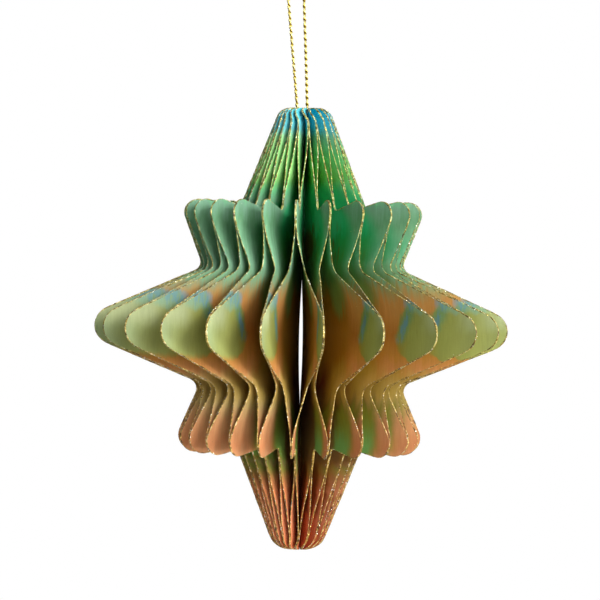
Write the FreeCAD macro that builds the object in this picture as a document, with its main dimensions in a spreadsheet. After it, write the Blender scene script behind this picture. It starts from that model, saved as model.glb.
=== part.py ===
import FreeCAD, Part
import Sketcher
import math
import os
from FreeCAD import Vector, Rotation, Placement

# Paper star ornament: 48 die-cut half-star leaves of heavy paper stand round a
# hollow core and are glued to each other in alternate bands, which makes a
# closed honeycomb.  A loop of thin gold cord comes out of the top of the core.
#
# Frame: millimetres, +Z up along the star's axis, the star's front faces -Y.
# The origin is where a hook bears on the inside of the hanging loop.
# In the star's own working frame, before it is placed, Z = 0 is the plane of
# the long points and the axis is X = Y = 0.

doc = FreeCAD.newDocument("paper_star")

# ---------------------------------------------------------------- the sheet
sheet = doc.addObject("Spreadsheet::Sheet", "Spec")
row = [1]


def cell(alias, value, note=""):
    n = row[0]
    sheet.set("A%d" % n, alias)
    sheet.set("B%d" % n, repr(value))
    if note:
        sheet.set("C%d" % n, note)
    sheet.setAlias("B%d" % n, alias)
    row[0] += 1


cell("paper_thk", 0.22, "leaf thickness")
cell("glue_film", 0.03, "glue between two bonded leaves")
cell("core_rad", 2.40, "inner edges of the leaves stand on this radius")
cell("slit_half", 0.44, "half width of the widest core gap, front and back")
cell("slit_mid", -3.36, "height of the widest place of that gap")
cell("slit_reach", 13.98, "how far above and below it runs")
cell("leaf_count", 48)
cell("pair_count", 24)

# corners of the half-star outline before rounding: radius, height, fillet
OUTLINE = [
    ("top", 5.985, 53.915, 3.31),
    ("collar_up", 15.797, 28.650, 1.35),
    ("wing_up", 31.152, 32.697, 3.19),
    ("waist_up", 24.284, 14.717, 2.21),
    ("point", 58.036, 0.0, 4.64),
    ("waist_lo", 24.578, -13.712, 2.70),
    ("wing_lo", 32.182, -31.618, 3.80),
    ("collar_lo", 15.674, -28.429, 1.35),
    ("foot", 5.543, -54.307, 4.66),
]
for name, rad, lev, fil in OUTLINE:
    cell(name + "_rad", rad, "outline corner, from the axis")
    cell(name + "_hgt", abs(lev), "outline corner, above or below the points")
    cell(name + "_fil", fil, "rounding of that corner")

# the glue bands: where each starts and ends, from the top down
BANDS = [
    ("band_a", 53.92, 50.61),
    ("band_b", 30.98, 26.07),
    ("band_c", 3.51, -7.29),
    ("band_d", -27.89, -33.29),
    ("band_e", -52.91, -54.38),
]
for name, hi, lo in BANDS:
    cell(name + "_hi", hi, "upper edge of the glue band")
    cell(name + "_lo", lo, "lower edge of the glue band")

# directions of the bonded pairs in each band, in degrees round the axis from
# the front (-Y), positive towards +X.  Bands a, c and e join one leaf of a
# pair to the next pair; bands b and d join the two leaves of a pair.
DIR_C = [-174.0, -159.1, -144.2, -129.4, -114.5, -99.6, -84.8, -69.9, -55.6,
         -40.4, -25.8, -10.6, 6.0, 22.4, 39.1, 55.4, 69.9, 84.2, 98.5, 112.8,
         127.0, 141.3, 155.5, 169.7]
DIR_A = list(DIR_C)
DIR_A[9:16] = [-41.4, -25.6, -11.4, 7.3, 22.6, 40.9, 57.0]
DIR_E = list(DIR_C)
DIR_E[8:15] = [-57.6, -44.0, -30.6, -15.0, 2.6, 21.5, 40.3]
DIR_B = [-166.5, -151.6, -136.8, -121.9, -107.0, -92.2, -77.4, -64.3, -49.3,
         -34.4, -19.3, -3.5, 12.9, 29.6, 46.8, 62.4, 77.0, 91.3, 105.7, 119.9,
         134.2, 148.4, 162.6, 177.85]
DIR_D = list(DIR_B)
DIR_D[7:15] = [-63.4, -48.5, -34.0, -19.2, -3.6, 13.7, 30.4, 47.2]
for band, dirs in (("a", DIR_A), ("b", DIR_B), ("c", DIR_C), ("d", DIR_D),
                   ("e", DIR_E)):
    for n, ang in enumerate(dirs):
        cell("dir_%s_%02d" % (band, n + 1), ang, "direction of a bonded pair")
cell("lean_top", -1.03, "sideways lean of the front leaves at the very top")
cell("lean_foot", -0.74, "sideways lean of the front leaves at the very foot")
cell("lean_top_from", 50.1, "height where the top lean starts")
cell("lean_foot_from", -50.9, "height where the foot lean starts")
cell("lean_spread", 60.0, "degrees round from the front where the lean fades")

# cord
cell("cord_dia", 0.80)
cell("cord_left_x", -0.883, "left strand where it rises from the knot")
cell("cord_right_x", 0.883, "right strand where it rises from the knot")
cell("cord_knot_z", 41.28, "top of the knot")
cell("cord_left_z", 44.40, "left strand starts to lean here")
cell("cord_right_z", 49.70, "right strand starts to lean here")
cell("hook_x", -3.236, "centre of the bend over the hook")
cell("hook_z", 90.83, "centre of the bend over the hook")
cell("bend_rad", 2.08, "centreline radius of that bend")
cell("knot_rad", 2.33)
cell("knot_half", 3.00, "half height of the knot")
cell("knot_cut", 45.0, "latitude where the knot's top is cut flat")
# where the star's axis and point plane lie in the part's frame
cell("axis_x", 3.236)
cell("points_z", -92.51)
doc.recompute()


def val(alias):
    return float(getattr(sheet, alias))


thk = val("paper_thk")
film = val("glue_film")
core = val("core_rad")

# ------------------------------------------------- the turned outline: a body
body = doc.addObject("PartDesign::Body", "Outline")
planes = dict((f.Role, f) for f in body.Origin.OriginFeatures)
sk = body.newObject("Sketcher::SketchObject", "HalfStar")
sk.AttachmentSupport = [(planes["XZ_Plane"], "")]
sk.MapMode = "FlatFace"
pts = [(0.0, OUTLINE[0][2])] + [(r, z) for _, r, z, _ in OUTLINE] + [(0.0, OUTLINE[-1][2])]
n = len(pts)
for i in range(n):
    a, b = pts[i], pts[(i + 1) % n]
    sk.addGeometry(Part.LineSegment(Vector(a[0], a[1], 0), Vector(b[0], b[1], 0)), False)
for i in range(n):
    sk.addConstraint(Sketcher.Constraint("Coincident", i, 2, (i + 1) % n, 1))
sk.addConstraint(Sketcher.Constraint("PointOnObject", 0, 1, -2))
sk.addConstraint(Sketcher.Constraint("PointOnObject", n - 1, 1, -2))
sk.addConstraint(Sketcher.Constraint("Horizontal", 0))
sk.addConstraint(Sketcher.Constraint("Horizontal", n - 2))
for k, (name, rad, lev, fil) in enumerate(OUTLINE):
    g = k + 1                       # the corner is the start of line g
    c = sk.addConstraint(Sketcher.Constraint("DistanceX", -1, 1, g, 1, rad))
    sk.renameConstraint(c, name + "_r")
    sk.setExpression("Constraints.%s_r" % name, "Spec.%s_rad" % name)
    if lev > 0:
        c = sk.addConstraint(Sketcher.Constraint("DistanceY", -1, 1, g, 1, lev))
    elif lev < 0:
        c = sk.addConstraint(Sketcher.Constraint("DistanceY", g, 1, -1, 1, -lev))
    else:
        sk.addConstraint(Sketcher.Constraint("PointOnObject", g, 1, -1))
        continue
    sk.renameConstraint(c, name + "_h")
    sk.setExpression("Constraints.%s_h" % name, "Spec.%s_hgt" % name)
doc.recompute()
turn = body.newObject("PartDesign::Revolution", "Turned")
turn.Profile = sk
turn.ReferenceAxis = (sk, ["V_Axis"])
turn.Angle = 360.0
doc.recompute()


def ring_edge(shape, rad, lev):
    """Name of the circular edge of that radius and height."""
    best, name = 1e9, None
    for k, e in enumerate(shape.Edges):
        if isinstance(e.Curve, Part.Circle):
            c = e.Curve
            d = abs(c.Radius - rad) + abs(c.Center.z - lev)
            if d < best:
                best, name = d, "Edge%d" % (k + 1)
    if best > 1e-3:
        raise RuntimeError("no edge at r=%.3f z=%.3f" % (rad, lev))
    return name


last = turn
for name, rad, lev, fil in OUTLINE:
    f = body.newObject("PartDesign::Fillet", "Round_" + name)
    f.Base = (last, [ring_edge(last.Shape, val(name + "_rad"),
                               math.copysign(val(name + "_hgt"), lev))])
    f.Radius = fil
    f.setExpression("Radius", "Spec.%s_fil" % name)
    doc.recompute()
    last = f
body.Tip = last
doc.recompute()

# outline radius at a height, read back from the turned solid's own section
section = last.Shape.slice(Vector(0, 1, 0), 0.0)
curve = []
for w in section:
    for e in w.Edges:
        curve += [p for p in e.discretize(60) if p.x > 0.05]


def out_rad(z):
    """Largest outline radius within half a millimetre of height z."""
    near = [p.x for p in curve if abs(p.z - z) < 0.5]
    if not near:
        near = [min(curve, key=lambda p: abs(p.z - z)).x]
    return max(near)


# ------------------------------------------------------------------ the leaves
HI = [val(b[0] + "_hi") for b in BANDS]
LO = [val(b[0] + "_lo") for b in BANDS]


def smooth(x):
    x = min(1.0, max(0.0, x))
    return x * x * (3.0 - 2.0 * x)


def weights(z):
    """Share of each glue band in the leaf's place at height z."""
    w = [0.0] * 5
    if z >= LO[0]:
        w[0] = 1.0
        return w
    if z <= HI[4]:
        w[4] = 1.0
        return w
    for i in range(5):
        if LO[i] <= z <= HI[i]:
            w[i] = 1.0
            return w
    for i in range(4):
        if HI[i + 1] < z < LO[i]:
            s = smooth((LO[i] - z) / (LO[i] - HI[i + 1]))
            w[i], w[i + 1] = 1.0 - s, s
            return w
    raise RuntimeError("no band at %r" % z)


def unwrap(a, ref):
    while a - ref > 180.0:
        a -= 360.0
    while a - ref < -180.0:
        a += 360.0
    return a


NP = int(val("pair_count"))
NL = int(val("leaf_count"))
ANG = dict((b, [val("dir_%s_%02d" % (b, i + 1)) for i in range(NP)]) for b in "abcde")


def lean(theta, rad, amount):
    """Direction after the point at theta and rad is pushed sideways in X."""
    t = math.radians(theta)
    d = unwrap(theta, 0.0)
    k = amount * math.exp(-(d / val("lean_spread")) ** 2)
    t2 = math.atan2(rad * math.sin(t) + k, rad * math.cos(t))
    return unwrap(math.degrees(t2), theta)


def outer_dir(j, right, z):
    """Direction of a leaf's outer edge, and its side of the pair."""
    ref = ANG["b"][j]
    q = (j + 1) % NP if right else j
    ang = [unwrap(ANG["a"][q], ref), ref, unwrap(ANG["c"][q], ref),
           unwrap(ANG["d"][j], ref), unwrap(ANG["e"][q], ref)]
    w = weights(z)
    theta = sum(a * b for a, b in zip(ang, w))
    s = w[0] + w[2] + w[4]            # 1 in bands a, c, e and 0 in b, d
    side = (1.0 - 2.0 * s) if right else (2.0 * s - 1.0)
    t = smooth((z - val("lean_top_from")) / (HI[0] - val("lean_top_from")))
    if t > 0:
        theta += t * (lean(theta, 3.92, val("lean_top")) - theta)
    t = smooth((val("lean_foot_from") - z) / (val("lean_foot_from") - LO[4]))
    if t > 0:
        theta += t * (lean(theta, 3.92, val("lean_foot")) - theta)
    return theta, side


def core_dir(slot, z):
    """Direction of a leaf's inner edge.  slot counts from the front gap."""
    half = thk / 2.0
    pinch = math.degrees((half + film / 2.0) / core)
    wide = math.degrees(math.asin(val("slit_half") / core)) + math.degrees(half / core)
    s = max(0.0, 1.0 - ((z - val("slit_mid")) / val("slit_reach")) ** 2)
    m = NP - 1
    shut = pinch + (180.0 - 2.0 * pinch) * slot / m
    open_ = wide + (180.0 - 2.0 * wide) * slot / m
    return shut + s * (open_ - shut)


LEVELS = [56.0, 54.6, 53.2, 51.9, 50.6, 48.2, 45.6, 43.0, 40.4, 37.8, 35.2, 33.0,
          30.98, 26.07, 23.8, 21.5, 19.2, 16.9, 14.6, 12.3, 10.0, 7.8, 5.6, 3.51,
          0.0, -3.4, -7.29, -9.6, -11.9, -14.2, -16.5, -18.8, -21.1, -23.4,
          -25.7, -27.89, -33.29, -35.6, -38.0, -40.5, -43.0, -45.5, -48.0, -50.4,
          -51.8, -52.91, -54.0, -55.6]
REACH = 52.6                         # a blank runs past the longest point


def ray(j, right, slot, left_half, z):
    """Inner point, outer point and sideways direction of a leaf at height z."""
    theta, side = outer_dir(j, right, z)
    r_out = max(out_rad(min(HI[0], max(LO[4], z))), core + 1.0)
    a = math.radians(theta)
    b = math.radians(-core_dir(slot, z) if left_half else core_dir(slot, z))
    p = Vector(core * math.sin(b), -core * math.cos(b), z)
    e = Vector(r_out * math.sin(a), -r_out * math.cos(a), z)
    u = (e - p).normalize()
    nrm = Vector(-u.y, u.x, 0)        # points towards larger theta
    e = e + nrm * (side * (thk + film) / 2.0)
    u = (e - p).normalize()
    nrm = Vector(-u.y, u.x, 0)
    return p, p + u * (REACH - core), nrm


leaves = []
half = thk / 2.0
for k in range(NL):
    # leaves are numbered round from the back, towards larger theta
    j, right = k // 2, (k % 2 == 1)
    front = NP // 2 - 1               # the pair that straddles the front gap
    order = k - (2 * front + 1)       # 0 is the first leaf right of the gap
    if k == NL - 1:
        left_half, slot = True, NP - 1
    elif order >= 0:
        left_half, slot = False, order
    else:
        left_half, slot = True, -order - 1
    mean = ANG["b"][j]
    wires = []
    for z in LEVELS:
        p, q, nrm = ray(j, right, slot, left_half, z)
        c = [p - nrm * half, q - nrm * half, q + nrm * half, p + nrm * half]
        # the blank is made facing the front, then turned to its place
        c = [Rotation(Vector(0, 0, 1), -mean).multVec(v) for v in c]
        wires.append(Part.makePolygon(c + [c[0]]))
    blank = doc.addObject("Part::Feature", "Blank_%02d" % (k + 1))
    blank.Shape = Part.makeLoft(wires, True, True, False)
    blank.Placement = Placement(Vector(0, 0, 0), Rotation(Vector(0, 0, 1), mean))
    leaf = doc.addObject("Part::Common", "Leaf_%02d" % (k + 1))
    leaf.Base = blank
    leaf.Tool = body
    leaf.Refine = False
    leaf.Label = "leaf_%02d" % (k + 1)
    leaf.Placement = Placement(Vector(val("axis_x"), 0, val("points_z")), Rotation())
    leaf.setExpression(".Placement.Base.x", "Spec.axis_x")
    leaf.setExpression(".Placement.Base.z", "Spec.points_z")
    leaves.append(leaf)

# ------------------------------------------------------- the cord and its knot
cd = val("cord_dia")
rb = val("bend_rad")
hook = Vector(val("hook_x"), 0, val("hook_z"))


def tangent(pt, side):
    """Where a straight strand from pt touches the bend, on that side."""
    d = hook - pt
    dist = d.Length
    base = math.atan2(d.z, d.x)
    off = math.asin(rb / dist) * side
    run = math.sqrt(dist * dist - rb * rb)
    return pt + Vector(math.cos(base + off), 0, math.sin(base + off)) * run


def rounded(a, b, c):
    """Tangent arc at b, its radius set by the shorter run."""
    u, w = (a - b), (c - b)
    lu, lw = u.Length, w.Length
    u.normalize()
    w.normalize()
    turn_half = (math.pi - u.getAngle(w)) / 2.0
    cut = 0.45 * min(lu, lw)
    rad = cut / math.tan(turn_half)
    p, q = b + u * cut, b + w * cut
    cen = b + (u + w).normalize() * (rad / math.cos(turn_half))
    mid = cen + (b - cen).normalize() * rad
    return p, mid, q, rad


L0 = Vector(val("cord_left_x"), 0, val("cord_knot_z"))
L1 = Vector(val("cord_left_x"), 0, val("cord_left_z"))
L2 = tangent(L1, 1.0)
R0 = Vector(val("cord_right_x"), 0, val("cord_knot_z"))
R1 = Vector(val("cord_right_x"), 0, val("cord_right_z"))
R2 = tangent(R1, -1.0)
apex_dir = ((L2 - hook) + (R2 - hook))
top = hook + Vector(0, 0, 1) * rb
lp, lm, lq, lrad = rounded(L0, L1, L2)
rp, rm, rq, rrad = rounded(R0, R1, R2)
edges = [Part.LineSegment(L0, lp).toShape(), Part.Arc(lp, lm, lq).toShape(),
         Part.LineSegment(lq, L2).toShape(), Part.Arc(L2, top, R2).toShape(),
         Part.LineSegment(R2, rq).toShape(), Part.Arc(rq, rm, rp).toShape(),
         Part.LineSegment(rp, R0).toShape()]
path = doc.addObject("Part::Feature", "CordPath")
path.Shape = Part.Wire(edges)
ring = doc.addObject("Part::Circle", "CordSection")
ring.Radius = cd / 2.0
ring.setExpression("Radius", "Spec.cord_dia / 2")
ring.Placement = Placement(L0, Rotation())
cord = doc.addObject("Part::Sweep", "Cord")
cord.Sections = [ring]
cord.Spine = (path, ["Edge%d" % (i + 1) for i in range(len(path.Shape.Edges))])
cord.Solid = True
cord.Frenet = False
cord.Label = "hanging_cord"

knot = doc.addObject("Part::Ellipsoid", "Knot")
knot.Radius1 = val("knot_half")
knot.Radius2 = val("knot_rad")
knot.Radius3 = val("knot_rad")
knot.setExpression("Radius1", "Spec.knot_half")
knot.setExpression("Radius2", "Spec.knot_rad")
knot.setExpression("Radius3", "Spec.knot_rad")
knot.Angle1 = -90.0
knot.Angle2 = val("knot_cut")
knot.setExpression("Angle2", "Spec.knot_cut")
knot.Angle3 = 360.0
knot.Label = "cord_knot"
doc.recompute()
knot_z = val("cord_knot_z") - val("knot_half") * math.sin(math.radians(val("knot_cut")))
for obj, z in ((cord, 0.0), (knot, knot_z)):
    obj.Placement = Placement(Vector(val("axis_x"), 0, val("points_z") + z), Rotation())
    obj.setExpression(".Placement.Base.x", "Spec.axis_x")
cord.setExpression(".Placement.Base.z", "Spec.points_z")
knot.setExpression(".Placement.Base.z",
                   "Spec.points_z + Spec.cord_knot_z - Spec.knot_half * sin(Spec.knot_cut * 1 deg)")
doc.recompute()

# ---------------------------------------------------------------- checks
bad = [o.Name for o in doc.Objects
       if any(s in ("Invalid", "Error") for s in o.State)]
if bad:
    raise RuntimeError("failed objects: %s" % bad)
nodes = leaves + [cord, knot]
for o in nodes:
    sh = o.Shape
    if sh.isNull() or not sh.isValid() or sh.Volume <= 0:
        raise RuntimeError("bad shape: " + o.Label)
    if len(sh.Solids) != 1:
        raise RuntimeError("%s has %d solids" % (o.Label, len(sh.Solids)))
length = path.Shape.Length
print("cord path length %.2f mm, arc radii %.1f, %.2f, %.1f mm" % (length, lrad, rb, rrad))
print("cord volume %.3f, section times length %.3f" % (
    cord.Shape.Volume, math.pi * cd * cd / 4.0 * length))
print("inner top of the loop at z = %.3f" % (cord.Shape.BoundBox.ZMax - cd))
print("one leaf: %.1f mm3" % leaves[23].Shape.Volume, "all:",
      round(sum(o.Shape.Volume for o in leaves), 1))

os.makedirs("parts", exist_ok=True)
for o in nodes:
    o.Shape.exportStep("parts/%s.step" % o.Label)
print(len(nodes), "parts written")
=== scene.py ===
import math

import bpy
import numpy as np
from mathutils import Matrix, Vector
from mathutils.geometry import delaunay_2d_cdt


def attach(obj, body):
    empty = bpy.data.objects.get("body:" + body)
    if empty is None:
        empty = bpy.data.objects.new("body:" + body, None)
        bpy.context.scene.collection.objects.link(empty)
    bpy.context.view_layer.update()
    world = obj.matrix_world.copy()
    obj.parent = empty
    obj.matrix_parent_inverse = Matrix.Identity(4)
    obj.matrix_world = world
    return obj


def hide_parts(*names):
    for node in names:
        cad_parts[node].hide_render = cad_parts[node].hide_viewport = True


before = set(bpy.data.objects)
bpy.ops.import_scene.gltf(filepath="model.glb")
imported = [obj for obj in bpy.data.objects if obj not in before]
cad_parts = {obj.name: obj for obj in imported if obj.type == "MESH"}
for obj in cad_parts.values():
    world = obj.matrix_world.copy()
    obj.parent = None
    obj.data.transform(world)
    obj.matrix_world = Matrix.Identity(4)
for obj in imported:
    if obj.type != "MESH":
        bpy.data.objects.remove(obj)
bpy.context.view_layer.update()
scene = bpy.context.scene
MM = 0.001

# The star's working frame is in millimetres, Z = 0 in the plane of the long
# points and X = Y = 0 on its axis.  This puts it in the part's frame.
AXIS_X, POINTS_Z = 3.236, -92.51


def to_part(a):
    """Working-frame points in millimetres to part-frame metres."""
    a = np.asarray(a, float)
    return (a + np.array([AXIS_X, 0.0, POINTS_Z])) * MM


def new_mesh(name, verts, faces, materials, index=None):
    me = bpy.data.meshes.new(name)
    me.from_pydata([tuple(v) for v in verts], [], [tuple(f) for f in faces])
    for m in materials:
        me.materials.append(m)
    if index is not None:
        me.polygons.foreach_set("material_index", np.asarray(index, np.int32))
    me.update()
    ob = bpy.data.objects.new(name, me)
    scene.collection.objects.link(ob)
    return ob


# ------------------------------------------------------------------- camera
# On the star's front, 0.83 m away, level with its upper waist, tipped a degree
# down and rolled a degree.
ROLL = math.radians(1.0)
DIST = 834.0
eye = Vector(to_part([0.0, -DIST, 21.66]))
aim = Vector((-1.5 / 3400, 1.0, -60.01 / 3400)).normalized()
side0 = aim.cross(Vector((0, 0, 1))).normalized()
up0 = side0.cross(aim)
up = up0 * math.cos(ROLL) - side0 * math.sin(ROLL)
side = side0 * math.cos(ROLL) + up0 * math.sin(ROLL)
cam_data = bpy.data.cameras.new("camera")
cam = bpy.data.objects.new("camera", cam_data)
scene.collection.objects.link(cam)
cam_data.lens = 204.0
cam_data.sensor_width = 36.0
cam_data.sensor_fit = "HORIZONTAL"
cam_data.clip_start, cam_data.clip_end = 0.05, 50.0
cam_data.dof.use_dof = False
m = Matrix((side, up, -aim)).transposed().to_4x4()
m.translation = eye
cam.matrix_world = m
scene.camera = cam


# ---------------------------------------------------------------- materials
def material(name):
    mat = bpy.data.materials.new(name)
    mat.use_nodes = True
    nt = mat.node_tree
    for n in list(nt.nodes):
        nt.nodes.remove(n)
    out = nt.nodes.new("ShaderNodeOutputMaterial")
    bsdf = nt.nodes.new("ShaderNodeBsdfPrincipled")
    nt.links.new(bsdf.outputs[0], out.inputs[0])
    return mat, nt, bsdf


def lin(r, g, b):
    """A 0-255 display colour as linear values."""
    c = [x / 255.0 for x in (r, g, b)]
    c = [x / 12.92 if x <= 0.04045 else ((x + 0.055) / 1.055) ** 2.4 for x in c]
    return (*c, 1.0)


# --------------------------------------------------------------------- cord
# The loop's route: up from the knot, over the hook and down again.  The ends
# stand in the knot; five corners go round the hook at the origin.
ROUTE = [
    (-0.883, 0.0, 41.28), (-0.883, 0.0, 44.40), (-5.07, 0.0, 85.9),
    (-5.318, 0.0, 90.35), (-5.02, 0.0, 92.00), (-3.92, 0.0, 92.95),
    (-2.55, 0.0, 92.95), (-1.45, 0.0, 92.00), (-1.100, 0.0, 90.35),
    (-0.93, 0.0, 86.2), (0.883, 0.0, 49.70), (0.883, 0.0, 41.28),
]
curve = bpy.data.curves.new("cord_route", "CURVE")
curve.dimensions = "3D"
sp = curve.splines.new("NURBS")
sp.points.add(len(ROUTE) - 1)
for p, c in zip(sp.points, to_part(ROUTE)):
    p.co = (*c, 1.0)
sp.order_u = 3
sp.use_endpoint_u = True
sp.resolution_u = 24
route_ob = bpy.data.objects.new("cord_route", curve)
route_me = bpy.data.meshes.new_from_object(route_ob)
line = np.array([v.co for v in route_me.vertices], float)
bpy.data.objects.remove(route_ob)
bpy.data.meshes.remove(route_me)
bpy.data.curves.remove(curve)


def even(line, step):
    along = np.concatenate([[0], np.cumsum(np.linalg.norm(np.diff(line, axis=0), axis=1))])
    n = max(2, int(round(along[-1] / step)) + 1)
    at = np.linspace(0, along[-1], n)
    return at, np.stack([np.interp(at, along, line[:, k]) for k in range(3)], 1)


def frames(pts):
    """Tangents and a pair of side directions carried along without twist."""
    t = np.gradient(pts, axis=0)
    t /= np.linalg.norm(t, axis=1, keepdims=True)
    a = np.zeros_like(pts)
    ref = np.array([0.0, 1.0, 0.0])
    a[0] = ref - t[0] * (ref @ t[0])
    a[0] /= np.linalg.norm(a[0])
    for i in range(1, len(pts)):
        v = a[i - 1] - t[i] * (a[i - 1] @ t[i])
        a[i] = v / np.linalg.norm(v)
    return t, a, np.cross(t, a)


def tube(pts, rad_of, sides, phase=0.0):
    """Rings of a tube round pts.  rad_of(i, angle) gives its radius."""
    t, a, b = frames(pts)
    n = len(pts)
    ang = np.arange(sides) * 2 * math.pi / sides
    verts = []
    for i in range(n):
        for q in ang:
            r = rad_of(i, q)
            verts.append(pts[i] + (a[i] * math.cos(q + phase) + b[i] * math.sin(q + phase)) * r)
    faces = []
    for i in range(n - 1):
        for k in range(sides):
            k2 = (k + 1) % sides
            faces.append((i * sides + k, i * sides + k2, (i + 1) * sides + k2, (i + 1) * sides + k))
    faces.append(tuple(range(sides))[::-1])
    faces.append(tuple((n - 1) * sides + k for k in range(sides)))
    return verts, faces


FOIL = 1.59 * MM                 # one turn of the foil along the cord


def twisted(pts, at, count, off, rad, pitch, sides, groove, turns_per_strand, closed=False):
    """Strands laid round pts, each with grooves where its foil is wound on.
    Also gives each vertex its place in the foil's turn."""
    t, a, b = frames(pts)
    verts, faces, wind = [], [], []
    for s in range(count):
        ph = 2 * math.pi * at / pitch + 2 * math.pi * s / count
        cen = pts + (a * np.cos(ph)[:, None] + b * np.sin(ph)[:, None]) * off

        def rad_of(i, q, cen=cen):
            w = 3.0 * q + 2 * math.pi * at[i] / turns_per_strand
            return rad * (1.0 + groove * math.cos(w))

        v, f = tube(cen, rad_of, sides)
        base = len(verts)
        verts += v
        faces += [tuple(x + base for x in g) for g in f]
        d = np.array(v).reshape(len(pts), sides, 3) - pts[:, None, :]
        round_ = np.arctan2(np.einsum("ijk,ik->ij", d, b), np.einsum("ijk,ik->ij", d, a))
        wind.append((0.5 + 0.5 * np.cos(2 * math.pi * at[:, None] / FOIL + round_)).ravel())
    return verts, faces, np.concatenate(wind)


def add_wind(ob, wind):
    att = ob.data.attributes.new("foil_turn", "FLOAT", "POINT")
    att.data.foreach_set("value", np.asarray(wind, np.float32))
    for p in ob.data.polygons:
        p.use_smooth = True


mat_cord, nt, bsdf = material("gold_cord")
foil = nt.nodes.new("ShaderNodeAttribute")
foil.attribute_name = "foil_turn"
place_c = nt.nodes.new("ShaderNodeTexCoord")
fleck = nt.nodes.new("ShaderNodeTexNoise")
fleck.inputs["Scale"].default_value = 2200.0
fleck.inputs["Detail"].default_value = 2.0
nt.links.new(place_c.outputs["Object"], fleck.inputs["Vector"])
nudge = nt.nodes.new("ShaderNodeMath")
nudge.operation = "MULTIPLY_ADD"
nudge.inputs[1].default_value = 0.5
nt.links.new(fleck.outputs[0], nudge.inputs[0])
lower = nt.nodes.new("ShaderNodeMath")
lower.operation = "SUBTRACT"
lower.inputs[1].default_value = 0.25
nt.links.new(foil.outputs["Fac"], lower.inputs[0])
nt.links.new(lower.outputs[0], nudge.inputs[2])
# the colour follows the foil's turn: dark brown at one phase, partly the darker core and partly painted shade, through
# gold to near-white painted highlights
foil_shade_and_highlight = nt.nodes.new("ShaderNodeValToRGB")
for pos, col in ((0.0, (92, 72, 8)), (0.26, (132, 110, 24)), (0.42, (190, 170, 62)), (0.70, (226, 212, 118)), (1.0, (252, 244, 194))):
    e = foil_shade_and_highlight.color_ramp.elements[0] if pos == 0.0 else (foil_shade_and_highlight.color_ramp.elements[-1] if pos == 1.0 else foil_shade_and_highlight.color_ramp.elements.new(pos))
    e.position = pos
    e.color = lin(*col)
nt.links.new(nudge.outputs[0], foil_shade_and_highlight.inputs[0])
nt.links.new(foil_shade_and_highlight.outputs[0], bsdf.inputs["Base Color"])
dull = nt.nodes.new("ShaderNodeMapRange")
dull.inputs["To Min"].default_value = 0.5
dull.inputs["To Max"].default_value = 0.22
nt.links.new(nudge.outputs[0], dull.inputs["Value"])
nt.links.new(dull.outputs[0], bsdf.inputs["Roughness"])
bsdf.inputs["Metallic"].default_value = 0.75

at, pts = even(line, 0.14 * MM)
v, f, wind = twisted(pts, at, 2, 0.195 * MM, 0.205 * MM, 3.2 * MM, 8, 0.10, 0.9 * MM)
cord = new_mesh("hanging_cord_strands", v, f, [mat_cord])
add_wind(cord, wind)

# The knot that ties the loop's ends, hidden in the star's top, and two tails.
tt = np.linspace(0, 2 * math.pi, 400)
bow = np.stack([0.60 * (np.sin(tt) + 2 * np.sin(2 * tt)), 0.60 * (np.cos(tt) - 2 * np.cos(2 * tt)),
                38.85 - 1.85 * np.sin(3 * tt)], 1)
kv, kf, kw = [], [], []
for route in (bow, np.array([(-0.55, 0.1, 38.4), (-0.75, 0.2, 37.4), (-0.95, 0.2, 36.45)]),
              np.array([(0.55, -0.1, 38.4), (0.70, -0.25, 37.5), (0.80, -0.45, 36.6)])):
    k_at, k_pts = even(to_part(route), 0.14 * MM)
    v, f, wind = twisted(k_pts, k_at, 2, 0.195 * MM, 0.205 * MM, 3.2 * MM, 8, 0.10, 0.9 * MM)
    f = [tuple(x + len(kv) for x in g) for g in f]
    kv += v
    kf += f
    kw.append(wind)
knot = new_mesh("cord_knot_strands", kv, kf, [mat_cord])
add_wind(knot, np.concatenate(kw))

# ------------------------------------------------------------------- leaves
THK, FILM, CORE = 0.22, 0.03, 2.40
SLIT_HALF, SLIT_MID, SLIT_REACH = 0.44, -3.36, 13.98
OUTLINE = [
    (5.985, 53.915, 3.31), (15.797, 28.650, 1.35), (31.152, 32.697, 3.19),
    (24.284, 14.717, 2.21), (58.036, 0.0, 4.64), (24.578, -13.712, 2.70),
    (32.182, -31.618, 3.80), (15.674, -28.429, 1.35), (5.543, -54.307, 4.66),
]
HI = [53.92, 30.98, 3.51, -27.89, -52.91]
LO = [50.61, 26.07, -7.29, -33.29, -54.38]
DIR_C = [-174.0, -159.1, -144.2, -129.4, -114.5, -99.6, -84.8, -69.9, -55.6,
         -40.4, -25.8, -10.6, 6.0, 22.4, 39.1, 55.4, 69.9, 84.2, 98.5, 112.8,
         127.0, 141.3, 155.5, 169.7]
DIR_A = list(DIR_C)
DIR_A[9:16] = [-41.4, -25.6, -11.4, 7.3, 22.6, 40.9, 57.0]
DIR_E = list(DIR_C)
DIR_E[8:15] = [-57.6, -44.0, -30.6, -15.0, 2.6, 21.5, 40.3]
DIR_B = [-166.5, -151.6, -136.8, -121.9, -107.0, -92.2, -77.4, -64.3, -49.3,
         -34.4, -19.3, -3.5, 12.9, 29.6, 46.8, 62.4, 77.0, 91.3, 105.7, 119.9,
         134.2, 148.4, 162.6, 177.85]
DIR_D = list(DIR_B)
DIR_D[7:15] = [-63.4, -48.5, -34.0, -19.2, -3.6, 13.7, 30.4, 47.2]
ANG = {"a": DIR_A, "b": DIR_B, "c": DIR_C, "d": DIR_D, "e": DIR_E}
LEAN_TOP, LEAN_FOOT, LEAN_TOP_FROM, LEAN_FOOT_FROM, LEAN_SPREAD = -1.03, -0.74, 50.1, -50.9, 60.0
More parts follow.
